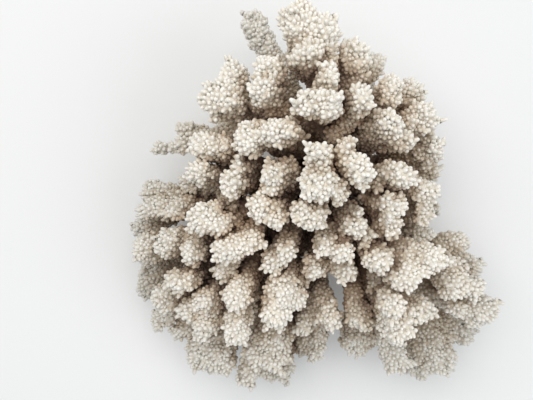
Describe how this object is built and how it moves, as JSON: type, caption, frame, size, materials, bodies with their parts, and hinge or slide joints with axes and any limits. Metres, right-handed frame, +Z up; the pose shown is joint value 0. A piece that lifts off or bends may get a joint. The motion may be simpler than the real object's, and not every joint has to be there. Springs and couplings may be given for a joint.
{
  "type": "branching coral",
  "caption": "Dry bleached colony of a warty branching coral, a dome of forking stalks with knobbly rounded lobes, cut off flat at its foot to stand on a shelf.",
  "frame": {"origin": "on the plane of the flat cut foot, under the middle of the colony's plan", "axes": "+Z up through the colony, +Y towards its narrow crest, +X to the right seen from above with the crest away from the viewer"},
  "size_m": [0.2126, 0.217, 0.1228],
  "materials": {
    "branch": "matt chalky skeleton, warm white at the tips and tan towards the forks",
    "stalk": "matt skeleton, brown with dried remains",
    "cut_foot": "matt skeleton, sawn flat and slightly gritty underneath"
  },
  "bodies": {
    "root": {"base": "cut_foot", "crown_east": "branch", "crown_front": "branch", "crown_top": "branch", "east_front": "branch", "east_inner": "branch", "east_rim": "branch", "east_side": "branch", "east_under": "branch", "far_east_high": "branch", "far_east_low": "branch", "far_east_tip": "branch", "front_left": "branch", "front_low": "branch", "front_mid": "branch", "front_right": "branch", "limb_crown": "stalk", "limb_east": "stalk", "limb_north": "stalk", "limb_northeast": "stalk", "limb_northwest": "stalk", "limb_south": "stalk", "limb_southeast": "stalk", "limb_southwest": "stalk", "limb_west": "stalk", "north_crest": "branch", "north_crown": "branch", "north_low": "branch", "northeast_crest": "branch", "northeast_high": "branch", "northeast_inner": "branch", "northeast_low": "branch", "northeast_outer": "branch", "northwest_high": "branch", "northwest_inner": "branch", "northwest_low": "branch", "northwest_outer": "branch", "south_high": "branch", "south_low": "branch", "south_ridge": "branch", "southeast_front": "branch", "southeast_high": "branch", "southeast_low": "branch", "southeast_ridge": "branch", "southwest_foot": "branch", "southwest_high": "branch", "southwest_inner": "branch", "southwest_low": "branch", "southwest_mid": "branch", "southwest_ridge": "branch", "southwest_rim": "branch", "southwest_side": "branch", "west_far": "branch", "west_front": "branch", "west_inner": "branch", "west_north": "branch", "west_outer": "branch", "west_rim": "branch"}
  },
  "joints": []
}
